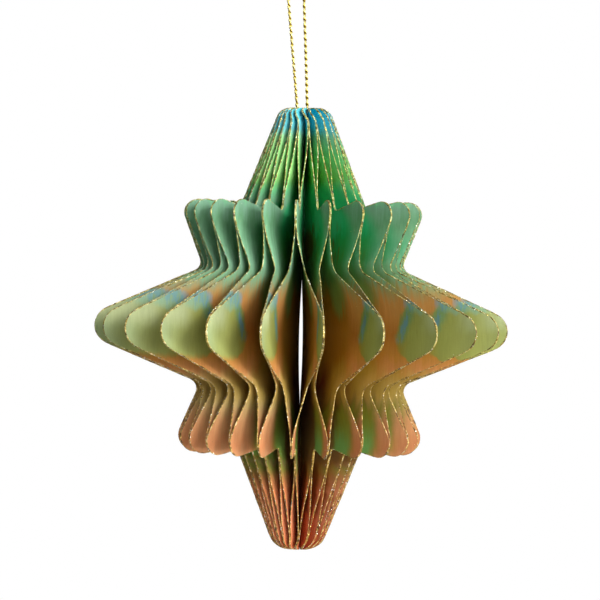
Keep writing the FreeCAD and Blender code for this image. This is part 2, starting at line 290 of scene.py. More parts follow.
LEVELS = [56.0, 54.6, 53.2, 51.9, 50.6, 48.2, 45.6, 43.0, 40.4, 37.8, 35.2, 33.0,
          30.98, 26.07, 23.8, 21.5, 19.2, 16.9, 14.6, 12.3, 10.0, 7.8, 5.6, 3.51,
          0.0, -3.4, -7.29, -9.6, -11.9, -14.2, -16.5, -18.8, -21.1, -23.4,
          -25.7, -27.89, -33.29, -35.6, -38.0, -40.5, -43.0, -45.5, -48.0, -50.4,
          -51.8, -52.91, -54.0, -55.6]
NP_, NL = 24, 48


def rounded_outline(corners, n):
    """The half outline from the core's top to its foot, corners rounded."""
    v = [(0.0, corners[0][1])] + [(r, z) for r, z, _ in corners] + [(0.0, corners[-1][1])]
    out = [np.array([CORE, corners[0][1]])]
    for i, (_, _, rad) in enumerate(corners, 1):
        a, b, c = (np.array(v[k], float) for k in (i - 1, i, i + 1))
        u, w = (a - b) / np.linalg.norm(a - b), (c - b) / np.linalg.norm(c - b)
        half = math.acos(float(np.clip(u @ w, -1, 1))) / 2
        run = rad / math.tan(half)
        p, q = b + u * run, b + w * run
        cen = b + (u + w) / np.linalg.norm(u + w) * rad / math.sin(half)
        a0 = math.atan2(*(p - cen)[::-1])
        a1 = math.atan2(*(q - cen)[::-1])
        d = (a1 - a0 + math.pi) % (2 * math.pi) - math.pi
        for k in range(n + 1):
            q_ = a0 + d * k / n
            out.append(cen + rad * np.array([math.cos(q_), math.sin(q_)]))
    out.append(np.array([CORE, corners[-1][1]]))
    return np.array(out)


fine_outline = rounded_outline(OUTLINE, 24)
_, dense_outline = even(np.c_[fine_outline, np.zeros(len(fine_outline))], 0.1)
dense_outline = dense_outline[:, :2]


def out_rad(z):
    near = dense_outline[np.abs(dense_outline[:, 1] - z) < 0.5]
    if not len(near):
        near = dense_outline[[np.abs(dense_outline[:, 1] - z).argmin()]]
    return float(near[:, 0].max())


def smooth(x):
    x = min(1.0, max(0.0, x))
    return x * x * (3.0 - 2.0 * x)


def weights(z):
    w = [0.0] * 5
    if z >= LO[0]:
        w[0] = 1.0
        return w
    if z <= HI[4]:
        w[4] = 1.0
        return w
    for i in range(5):
        if LO[i] <= z <= HI[i]:
            w[i] = 1.0
            return w
    for i in range(4):
        if HI[i + 1] < z < LO[i]:
            s = smooth((LO[i] - z) / (LO[i] - HI[i + 1]))
            w[i], w[i + 1] = 1.0 - s, s
            return w


def unwrap(a, ref):
    while a - ref > 180.0:
        a -= 360.0
    while a - ref < -180.0:
        a += 360.0
    return a


def lean(theta, rad, amount):
    t = math.radians(theta)
    k = amount * math.exp(-(unwrap(theta, 0.0) / LEAN_SPREAD) ** 2)
    return unwrap(math.degrees(math.atan2(rad * math.sin(t) + k, rad * math.cos(t))), theta)


def outer_dir(j, right, z):
    ref = ANG["b"][j]
    q = (j + 1) % NP_ if right else j
    ang = [unwrap(ANG["a"][q], ref), ref, unwrap(ANG["c"][q], ref),
           unwrap(ANG["d"][j], ref), unwrap(ANG["e"][q], ref)]
    w = weights(z)
    theta = sum(a * b for a, b in zip(ang, w))
    s = w[0] + w[2] + w[4]
    side = (1.0 - 2.0 * s) if right else (2.0 * s - 1.0)
    t = smooth((z - LEAN_TOP_FROM) / (HI[0] - LEAN_TOP_FROM))
    if t > 0:
        theta += t * (lean(theta, 3.92, LEAN_TOP) - theta)
    t = smooth((LEAN_FOOT_FROM - z) / (LEAN_FOOT_FROM - LO[4]))
    if t > 0:
        theta += t * (lean(theta, 3.92, LEAN_FOOT) - theta)
    return theta, side


def core_dir(slot, z):
    half = THK / 2.0
    pinch = math.degrees((half + FILM / 2.0) / CORE)
    wide = math.degrees(math.asin(SLIT_HALF / CORE)) + math.degrees(half / CORE)
    s = max(0.0, 1.0 - ((z - SLIT_MID) / SLIT_REACH) ** 2)
    shut = pinch + (180.0 - 2.0 * pinch) * slot / (NP_ - 1)
    open_ = wide + (180.0 - 2.0 * wide) * slot / (NP_ - 1)
    return shut + s * (open_ - shut)


def ray(j, right, slot, left_half, z):
    """Inner point and direction of a leaf at height z."""
    theta, side = outer_dir(j, right, z)
    r_out = max(out_rad(min(HI[0], max(LO[4], z))), CORE + 1.0)
    a = math.radians(theta)
    b = math.radians(-core_dir(slot, z) if left_half else core_dir(slot, z))
    p = np.array([CORE * math.sin(b), -CORE * math.cos(b)])
    e = np.array([r_out * math.sin(a), -r_out * math.cos(a)])
    u = (e - p) / np.linalg.norm(e - p)
    e = e + np.array([-u[1], u[0]]) * (side * (THK + FILM) / 2.0)
    u = (e - p) / np.linalg.norm(e - p)
    return p, u


def slopes(x, y):
    """End-to-end slopes of a cubic that never overshoots."""
    h = np.diff(x)
    d = np.diff(y) / h
    m = np.zeros(len(x))
    for i in range(1, len(x) - 1):
        if d[i - 1] * d[i] > 0:
            w1, w2 = 2 * h[i] + h[i - 1], h[i] + 2 * h[i - 1]
            m[i] = (w1 + w2) / (w1 / d[i - 1] + w2 / d[i])
    m[0], m[-1] = d[0], d[-1]
    return m


def cubic(x, y, at):
    m = slopes(x, y)
    i = np.clip(np.searchsorted(x, at) - 1, 0, len(x) - 2)
    h = x[i + 1] - x[i]
    t = (at - x[i]) / h
    return ((2 * t**3 - 3 * t**2 + 1) * y[i] + (t**3 - 2 * t**2 + t) * h * m[i]
            + (-2 * t**3 + 3 * t**2) * y[i + 1] + (t**3 - t**2) * h * m[i + 1])


lev_up = np.array(LEVELS[::-1])


class Leaf:
    def __init__(self, k):
        j, right = k // 2, (k % 2 == 1)
        order = k - (2 * (NP_ // 2 - 1) + 1)
        if k == NL - 1:
            left_half, slot = True, NP_ - 1
        elif order >= 0:
            left_half, slot = False, order
        else:
            left_half, slot = True, -order - 1
        rows = [ray(j, right, slot, left_half, z) for z in lev_up]
        self.p = np.array([r[0] for r in rows])
        a = np.unwrap(np.array([math.atan2(r[1][1], r[1][0]) for r in rows]))
        self.a = a
        self.k = k

    def at(self, r, z):
        """Middle of the paper at radius r and height z, and its side direction."""
        px, py = cubic(lev_up, self.p[:, 0], z), cubic(lev_up, self.p[:, 1], z)
        a = cubic(lev_up, self.a, z)
        ux, uy = np.cos(a), np.sin(a)
        dot = px * ux + py * uy
        t = -dot + np.sqrt(np.maximum(dot**2 - (px**2 + py**2) + r**2, 0.0))
        pos = np.stack([px + ux * t, py + uy * t, z], 1)
        return pos, np.stack([-uy, ux, np.zeros_like(z)], 1)


leaves = [Leaf(k) for k in range(NL)]

# The leaf's flat pattern: boundary points, then rows of inner points.
INSET = 0.20                     # room for the glitter outside the paper at the tips
nrm2 = np.gradient(dense_outline, axis=0)
nrm2 = np.stack([-nrm2[:, 1], nrm2[:, 0]], 1)
nrm2 /= np.linalg.norm(nrm2, axis=1, keepdims=True)   # points to the outside
if nrm2[len(nrm2) // 2, 0] < 0:
    nrm2 = -nrm2
ease = np.clip((dense_outline[:, 0] - 46.5) / 3.0, 0, 1) + np.clip((-50.5 - dense_outline[:, 1]) / 2.5, 0, 1)
inset = dense_outline - nrm2 * (0.02 + (INSET - 0.02) * np.clip(ease, 0, 1))[:, None]
keep = inset[:, 0] >= CORE
inset = inset[keep]
inset[0, 0] = CORE
inset[-1, 0] = CORE
_, b_out = even(np.c_[inset, np.zeros(len(inset))], 0.5)
b_out = b_out[:, :2]
zt, zb = b_out[0, 1], b_out[-1, 1]
n_in = 96
b_in = np.stack([np.full(n_in - 1, CORE), np.linspace(zb, zt, n_in + 1)[1:-1]], 1)
loop = np.concatenate([b_out, b_in])
NB = len(loop)


def inside(p, poly):
    x, y = p[:, 0], p[:, 1]
    hit = np.zeros(len(p), bool)
    for (x1, y1), (x2, y2) in zip(poly, np.roll(poly, -1, 0)):
        c = (y1 > y) != (y2 > y)
        if c.any():
            xi = x1 + (y - y1) * (x2 - x1) / (y2 - y1 + 1e-30)
            hit ^= c & (x < xi)
    return hit


grid = []
rows_z = np.linspace(zb, zt, 104)[1:-1]
for i, z in enumerate(rows_z):
    for r in np.arange(CORE + (1.3 if i % 2 else 2.5), 56.5, 2.4):
        grid.append((r, z))
grid = np.array(grid)
grid = grid[inside(grid, loop)]
far = np.array([np.min(np.linalg.norm(loop - g, axis=1)) for g in grid])
grid = grid[far > 0.55]
flat = np.concatenate([loop, grid])
res = delaunay_2d_cdt([Vector(p) for p in flat], [(i, (i + 1) % NB) for i in range(NB)], [], 1, 1e-6)
assert len(res[0]) == len(flat), (len(res[0]), len(flat))
tri = np.array([list(t) for t in res[2]])
a_, b_, c_ = flat[tri[:, 0]], flat[tri[:, 1]], flat[tri[:, 2]]
turn = (b_[:, 0] - a_[:, 0]) * (c_[:, 1] - a_[:, 1]) - (b_[:, 1] - a_[:, 1]) * (c_[:, 0] - a_[:, 0])
tri[turn < 0] = tri[turn < 0][:, ::-1]
NV = len(flat)
print("flat pattern", NV, "points", len(tri), "triangles")

class Nodes:
    """Short names for the node maths that paints the print."""

    def __init__(self, nt):
        self.nt = nt

    def put(self, sock, val):
        if isinstance(val, (int, float)):
            sock.default_value = val
        elif isinstance(val, tuple):
            sock.default_value = val
        else:
            self.nt.links.new(val, sock)

    def math(self, op, a, b=0.0, c=0.0, clamp=False):
        n = self.nt.nodes.new("ShaderNodeMath")
        n.operation = op
        n.use_clamp = clamp
        self.put(n.inputs[0], a)
        self.put(n.inputs[1], b)
        if op == "MULTIPLY_ADD":
            self.put(n.inputs[2], c)
        return n.outputs[0]

    def add(self, a, b):
        return self.math("ADD", a, b)

    def sub(self, a, b):
        return self.math("SUBTRACT", a, b)

    def mul(self, a, b):
        return self.math("MULTIPLY", a, b)

    def ramp(self, x, lo, hi, kind="SMOOTHSTEP", to=(0.0, 1.0)):
        """0 at lo, 1 at hi, eased between."""
        n = self.nt.nodes.new("ShaderNodeMapRange")
        n.interpolation_type = kind
        self.put(n.inputs["Value"], x)
        n.inputs["From Min"].default_value = lo
        n.inputs["From Max"].default_value = hi
        n.inputs["To Min"].default_value = to[0]
        n.inputs["To Max"].default_value = to[1]
        return n.outputs[0]

    def curve(self, x, pts, span, height):
        """A smooth line through pts, read at x."""
        n = self.nt.nodes.new("ShaderNodeFloatCurve")
        c = n.mapping.curves[0]
        pts = [((px - span[0]) / (span[1] - span[0]), py / height) for px, py in pts]
        while len(c.points) < len(pts):
            c.points.new(0.5, 0.5)
        for q, p in zip(c.points, pts):
            q.location = p
            q.handle_type = "AUTO_CLAMPED"
        n.mapping.update()
        n.inputs["Factor"].default_value = 1.0
        self.put(n.inputs["Value"], self.ramp(x, span[0], span[1], "LINEAR"))
        return self.mul(n.outputs[0], height)

    def colours(self, x, stops, span):
        """Colours along x, as 0-255 display values."""
        n = self.nt.nodes.new("ShaderNodeValToRGB")
        r = n.color_ramp
        r.interpolation = "LINEAR"
        stops = [((px - span[0]) / (span[1] - span[0]), c) for px, c in stops]
        while len(r.elements) < len(stops):
            r.elements.new(0.5)
        for e, (p, c) in zip(r.elements, stops):
            e.position = p
        for e, (p, c) in zip(r.elements, stops):
            e.color = lin(*c)
        self.put(n.inputs[0], self.ramp(x, span[0], span[1], "LINEAR"))
        return n.outputs[0]

    def mix(self, f, a, b, kind="MIX"):
        n = self.nt.nodes.new("ShaderNodeMix")
        n.data_type = "RGBA"
        n.blend_type = kind
        n.clamp_factor = True
        self.put(n.inputs[0], f)
        self.put(n.inputs[6], a)
        self.put(n.inputs[7], b)
        return n.outputs[2]

    def place(self, x, y, z=0.0):
        n = self.nt.nodes.new("ShaderNodeCombineXYZ")
        for i, v in enumerate((x, y, z)):
            self.put(n.inputs[i], v)
        return n.outputs[0]

    def noise(self, vec, scale, detail=2.0, rough=0.5):
        n = self.nt.nodes.new("ShaderNodeTexNoise")
        n.noise_dimensions = "3D"
        self.put(n.inputs["Vector"], vec)
        n.inputs["Scale"].default_value = scale
        n.inputs["Detail"].default_value = detail
        n.inputs["Roughness"].default_value = rough
        return n.outputs[0]


# The print is one watercolour wash, the same on every leaf and on both faces, with painted shade added on the second
# face below.
# It is laid out on the flat half-star: U runs outwards from the axis and V
# downwards, both in units of 0.2453 mm, with V = 328.3 in the points' plane.
# On the face with the lower side number the wash sits 24 units further in.
PU, V0 = 0.245292, 328.3
mat_paper, nt, bsdf = material("printed_paper")
N = Nodes(nt)
src = nt.nodes.new("ShaderNodeAttribute")
src.attribute_name = "print_place"
sep = nt.nodes.new("ShaderNodeSeparateXYZ")
nt.links.new(src.outputs["Vector"], sep.inputs[0])
u_raw = N.mul(sep.outputs[0], 1.0 / PU)
v_raw = N.math("MULTIPLY_ADD", sep.outputs[1], -1.0 / PU, V0)
leaf_id = sep.outputs[2]
src2 = nt.nodes.new("ShaderNodeAttribute")
src2.attribute_name = "print_side"
which = N.ramp(src2.outputs["Fac"], 0.45, 0.55, "LINEAR")
p_raw = N.add(u_raw, N.math("MULTIPLY_ADD", which, -24.0, 24.0))
flat_at = N.place(u_raw, v_raw)
wash_at = N.place(p_raw, v_raw)
soft1 = N.sub(N.noise(wash_at, 0.035, 2.0), 0.5)
soft2 = N.sub(N.noise(N.place(p_raw, v_raw, 40.0), 0.16, 3.0, 0.6), 0.5)
soft3 = N.sub(N.noise(N.place(p_raw, v_raw, 90.0), 0.05, 2.0), 0.5)
pp = N.add(p_raw, N.add(N.mul(soft1, 9.0), N.mul(soft2, 5.0)))
brush = N.sub(N.noise(N.place(N.mul(p_raw, 0.16), N.mul(v_raw, 0.012), 7.0), 1.0, 3.0, 0.55), 0.5)
calm = N.mul(N.ramp(v_raw, 185.0, 215.0), N.ramp(v_raw, 480.0, 455.0))
reach = N.mul(N.mul(brush, calm), N.ramp(p_raw, 175.0, 120.0, to=(9.0, 36.0)))
vv = N.add(v_raw, N.add(N.mul(soft3, 7.0), N.add(N.mul(soft2, 5.0), reach)))
SPAN = (100.0, 560.0)

inner = N.colours(vv, [
    (108, (10, 170, 198)), (128, (8, 150, 170)), (138, (14, 72, 54)), (158, (22, 72, 28)),
    (180, (50, 116, 28)), (200, (24, 180, 100)), (220, (48, 179, 115)), (236, (57, 156, 85)),
    (256, (85, 145, 74)), (280, (87, 121, 64)), (300, (144, 104, 14)), (330, (160, 118, 40)),
    (358, (151, 110, 26)), (380, (108, 50, 28)), (396, (113, 79, 39)), (410, (80, 67, 6)),
    (440, (138, 129, 34)), (462, (160, 110, 36)), (484, (150, 80, 32)), (512, (154, 74, 40)),
    (550, (158, 72, 42)),
], SPAN)
outer = N.colours(vv, [
    (108, (100, 230, 246)), (128, (120, 226, 234)), (138, (168, 238, 184)), (156, (140, 234, 140)),
    (176, (150, 226, 112)), (192, (122, 210, 146)), (206, (136, 183, 151)), (222, (112, 165, 122)),
    (240, (135, 190, 147)), (262, (156, 210, 171)), (276, (149, 196, 150)), (286, (194, 172, 111)),
    (298, (215, 155, 86)), (330, (182, 119, 50)), (352, (198, 139, 62)), (368, (219, 150, 88)),
    (384, (238, 194, 126)), (400, (214, 186, 122)), (416, (218, 160, 109)), (440, (205, 135, 89)),
    (456, (195, 143, 100)), (464, (137, 147, 64)), (476, (196, 134, 80)), (490, (240, 149, 98)),
    (508, (242, 156, 110)), (530, (240, 147, 102)), (550, (208, 104, 60)),
], SPAN)
edge_at = N.curve(v_raw, [
    (100, 26), (125, 30), (150, 34), (178, 44), (196, 56), (215, 88), (240, 98), (262, 98),
    (280, 108), (300, 118), (330, 124), (362, 118), (378, 100), (400, 98), (425, 104),
    (452, 98), (462, 50), (490, 40), (550, 28),
], SPAN, 240.0)
out_by = N.ramp(N.sub(pp, edge_at), -14.0, 14.0)
paint = N.mix(out_by, inner, outer)


def spot(cu, cv, ru, rv, soft=0.35):
    """1 inside an ellipse of the wash, easing to 0 past its edge."""
    d = N.math("SQRT", N.add(N.math("POWER", N.mul(N.sub(pp, cu), 1.0 / ru), 2.0),
                             N.math("POWER", N.mul(N.sub(vv, cv), 1.0 / rv), 2.0)))
    return N.ramp(d, 1.0 + soft, 1.0 - soft)


# the upper cone's pale flank, with teal, emerald and umber towards the axis
pale = N.mul(N.ramp(pp, 50.0, 62.0), N.mul(N.ramp(vv, 132.0, 142.0), N.ramp(N.sub(vv, N.mul(which, 16.0)), 186.0, 170.0)))
paint = N.mix(N.mul(pale, 0.8), paint, lin(188, 252, 160))
paint = N.mix(N.mul(spot(42, 203, 22, 17), 0.8), paint, lin(42, 157, 92))
paint = N.mix(N.mul(spot(68, 220, 13, 15), 0.8), paint, lin(71, 185, 126))
paint = N.mix(N.mul(spot(36, 246, 22, 16), 0.8), paint, lin(104, 79, 8))

# maroon inside the lower wing and cone
paint = N.mix(N.mul(spot(46, 428, 34, 36), 0.85), paint, lin(117, 79, 50))
paint = N.mix(N.mul(spot(28, 484, 12, 28), 0.85), paint, lin(94, 49, 16))

# a green spur below the upper waist and yellow-olive round the lower one
paint = N.mix(N.mul(spot(100, 296, 18, 16, 0.5), 0.8), paint, lin(114, 147, 76))
paint = N.mix(N.mul(spot(106, 380, 30, 20, 0.5), 0.7), paint, lin(178, 153, 57))

# a green band down the lower wing
band_mid = N.math("MULTIPLY_ADD", vv, -0.25, 88.0 + 0.25 * 425.0)
band_at = N.math("ABSOLUTE", N.sub(pp, band_mid))
band = N.mul(N.mul(N.ramp(band_at, 21.0, 6.0), N.ramp(vv, 394.0, 410.0)), N.ramp(vv, 463.0, 454.0))
band_col = N.colours(vv, [(396, (130, 128, 32)), (425, (122, 145, 56)), (440, (121, 162, 75)), (454, (122, 156, 70))], SPAN)
paint = N.mix(N.mul(band, 0.9), paint, band_col)
paint = N.mix(N.mul(N.mul(which, N.mul(band, N.ramp(vv, 412.0, 446.0))), 0.45), paint, lin(84, 164, 96))

# the pale green end of each point
bulb_edge = N.curve(vv, [(285, 175), (300, 164), (316, 152), (330, 147), (342, 149), (350, 156), (360, 178)], (285.0, 360.0), 240.0)
low_edge = N.math("MULTIPLY_ADD", which, 7.0, 354.0)
bulb = N.mul(N.ramp(N.sub(pp, bulb_edge), -3.0, 3.5), N.ramp(N.sub(vv, low_edge), 4.0, -4.0))
bulb_col = N.colours(pp, [
    (145, (159, 139, 46)), (165, (154, 160, 82)), (185, (165, 170, 92)), (205, (157, 165, 98)),
    (238, (152, 170, 129)),
], (140.0, 240.0))
bulb_col = N.mix(N.mul(N.ramp(pp, 176.0, 204.0), N.ramp(vv, 332.0, 310.0)), bulb_col, lin(182, 192, 141))
paint = N.mix(bulb, paint, bulb_col)

# blue touches where the orange meets the green
streak_at = N.add(N.mul(N.sub(pp, 160.0), 0.85), N.mul(N.sub(vv, 319.0), 0.52))
streak_run = N.add(N.mul(N.sub(pp, 160.0), -0.52), N.mul(N.sub(vv, 319.0), 0.85))
streak_len = N.ramp(N.math("ABSOLUTE", streak_run), 25.0, 12.0)
streak = N.mul(N.ramp(N.math("ABSOLUTE", streak_at), 11.0, 2.0), streak_len)
paint = N.mix(N.mul(streak, 0.6), paint, lin(98, 156, 113))
paint = N.mix(N.mul(spot(180, 300, 17, 9), 0.6), paint, lin(142, 190, 164))
broken = N.ramp(N.noise(N.place(N.mul(p_raw, 0.22), N.mul(v_raw, 0.07), 23.0), 1.0, 3.0, 0.6), 0.38, 0.56)
thin = N.mul(N.ramp(N.math("ABSOLUTE", streak_at), 5.5, 1.5), N.mul(streak_len, broken))
paint = N.mix(N.mul(thin, 0.7), paint, lin(96, 146, 176))
paint = N.mix(N.mul(N.mul(spot(174, 297, 15, 7), broken), 0.6), paint, lin(116, 170, 190))

# painted shade: the second face, the one in shade on the star's right in this view, is painted cooler and darker over
# the cones
second_face_shade_cones = N.mul(N.mul(which, out_by), N.ramp(vv, 198.0, 172.0))
paint = N.mix(second_face_shade_cones, paint, lin(190, 218, 238), "MULTIPLY")
second_face_shade_foot = N.mul(N.mul(which, out_by), N.ramp(vv, 464.0, 480.0))
paint = N.mix(second_face_shade_foot, paint, lin(202, 222, 244), "MULTIPLY")

# painted shade on the second face: a patch of the upper wing made cooler and darker, then most of the leaf a little
# darker
paint = N.mix(N.mul(which, spot(84, 244, 22, 22, 0.4)), paint, lin(196, 243, 237), "MULTIPLY")
dull = N.mul(N.mul(which, out_by), N.mul(N.ramp(vv, 198.0, 207.0), N.ramp(vv, 452.0, 440.0)))
paint = N.mix(dull, paint, lin(238, 238, 236), "MULTIPLY")
mottle = N.ramp(N.noise(N.place(N.mul(p_raw, 0.2), N.mul(v_raw, 0.06), 51.0), 1.0, 2.0, 0.5), 0.53, 0.62)
paint = N.mix(N.mul(N.mul(which, mottle), N.mul(spot(52, 250, 30, 28), 0.6)), paint, lin(104, 86, 22))
misty = N.mul(N.sub(1.0, which), spot(184, 280, 34, 10, 0.5))
paint = N.mix(N.mul(misty, 0.5), paint, lin(138, 180, 162))

# long soft brush streaks and the paper's tooth
streaks = N.noise(N.place(N.mul(u_raw, 0.55), N.mul(v_raw, 0.05), leaf_id), 1.0, 3.0, 0.6)
weave = N.noise(N.place(N.mul(u_raw, 0.16), N.mul(v_raw, 1.6), leaf_id), 1.0, 2.0, 0.5)
tone = N.add(N.mul(N.sub(streaks, 0.5), 0.34), N.mul(N.sub(weave, 0.5), 0.12))
paint = N.mix(1.0, paint, N.place(N.add(tone, 1.0), N.add(tone, 1.0), N.add(tone, 1.0)), "MULTIPLY")
nt.links.new(paint, bsdf.inputs["Base Color"])
bsdf.inputs["Specular IOR Level"].default_value = 0.10
tooth = N.noise(flat_at, 1.9, 3.0, 0.65)
nt.links.new(N.ramp(tooth, 0.25, 0.75, "LINEAR", (0.58, 0.76)), bsdf.inputs["Roughness"])
bump = nt.nodes.new("ShaderNodeBump")
bump.inputs["Strength"].default_value = 0.35
bump.inputs["Distance"].default_value = 0.00004
nt.links.new(tooth, bump.inputs["Height"])
nt.links.new(bump.outputs[0], bsdf.inputs["Normal"])
# Gold glitter runs along every cut edge: a lumpy cream bead with metal grains.
mat_bead, nt, bsdf = material("glitter_glue")
B = Nodes(nt)
co = nt.nodes.new("ShaderNodeTexCoord")
# the glue's specks run from dark brown to near white: the glitter's own mixed colours, with the near-white end painted
# in as glints
speck_and_glint = B.noise(co.outputs["Object"], 1050.0, 3.0, 0.7)
bead_col = B.colours(speck_and_glint, [(0.39, (76, 60, 14)), (0.46, (128, 110, 40)), (0.52, (176, 162, 78)), (0.57, (222, 212, 132)), (0.63, (255, 252, 220))], (0.0, 1.0))
# the glue is thin, so the print's hue shows through: greener above, redder below
high = nt.nodes.new("ShaderNodeSeparateXYZ")
nt.links.new(co.outputs["Object"], high.inputs[0])
hue = B.colours(high.outputs[2], [(-0.147, (255, 216, 178)), (-0.122, (255, 222, 184)), (-0.108, (255, 230, 198)), (-0.090, (255, 242, 214)), (-0.076, (246, 250, 222)), (-0.039, (240, 250, 222))], (-0.147, -0.039))
bead_col = B.mix(1.0, bead_col, hue, "MULTIPLY")
# painted shade: the glue on the leaves towards the star's +X side is darkened, most at that side itself
edge_shade_by = nt.nodes.new("ShaderNodeAttribute")
edge_shade_by.attribute_name = "right_edge_shade"
bead_col = B.mix(edge_shade_by.outputs["Fac"], bead_col, lin(192, 192, 174), "MULTIPLY")
nt.links.new(bead_col, bsdf.inputs["Base Color"])
nt.links.new(B.ramp(speck_and_glint, 0.3, 0.7, "LINEAR", (0.62, 0.30)), bsdf.inputs["Roughness"])
bsdf.inputs["Metallic"].default_value = 0.15
GRAINS = []
for gname, gcol, grough, gmetal in (
    ("glitter_gold", (240, 214, 120), 0.34, 1.0),
    ("glitter_pale", (255, 255, 240), 0.32, 0.75),
    ("glitter_deep", (122, 90, 26), 0.36, 1.0),
):
    gm, gnt, gb = material(gname)
    G = Nodes(gnt)
    gco = gnt.nodes.new("ShaderNodeTexCoord")
    gn = G.noise(gco.outputs["Object"], 5200.0, 1.0)
    gb.inputs["Base Color"].default_value = lin(*gcol)
    gnt.links.new(G.ramp(gn, 0.3, 0.7, "LINEAR", (grough - 0.1, grough + 0.14)), gb.inputs["Roughness"])
    gb.inputs["Metallic"].default_value = gmetal
    GRAINS.append(gm)

OCT_V = np.array([(1, 0, 0), (-1, 0, 0), (0, 1, 0), (0, -1, 0), (0, 0, 1), (0, 0, -1)], float)
OCT_F = np.array([(0, 2, 4), (2, 1, 4), (1, 3, 4), (3, 0, 4), (2, 0, 5), (1, 2, 5), (3, 1, 5), (0, 3, 5)])


def unit(a):
    return a / np.maximum(np.linalg.norm(a, axis=-1, keepdims=True), 1e-12)


def bonded(z):
    """1 where the leaf is glued to a neighbour, 0 midway between the bands."""
    w = np.array([max(weights(float(x))) for x in z])
    return np.clip((w - 0.9) / 0.1, 0, 1)


_, edge_rz = even(np.c_[inset, np.zeros(len(inset))], 0.42)
edge_rz = edge_rz[:, :2]
edge_out = np.gradient(edge_rz, axis=0)
edge_out = np.stack([-edge_out[:, 1], edge_out[:, 0]], 1)
edge_out /= np.linalg.norm(edge_out, axis=1, keepdims=True)
if edge_out[len(edge_out) // 2, 0] < 0:
    edge_out = -edge_out
edge_ease = np.interp(np.linspace(0, 1, len(edge_rz)), np.linspace(0, 1, len(inset)), np.clip(ease, 0, 1)[keep])
SIDES = 6


def right_edge_shade(leaf):
    """Painted shade for the edges: -1 on the star's -X side, given extra pale grains as painted glints, to 1 on its +X
    side, given darker glue and fewer pale grains.
    """
    return math.sin(math.radians((leaf.k - 23.5) * 7.5))


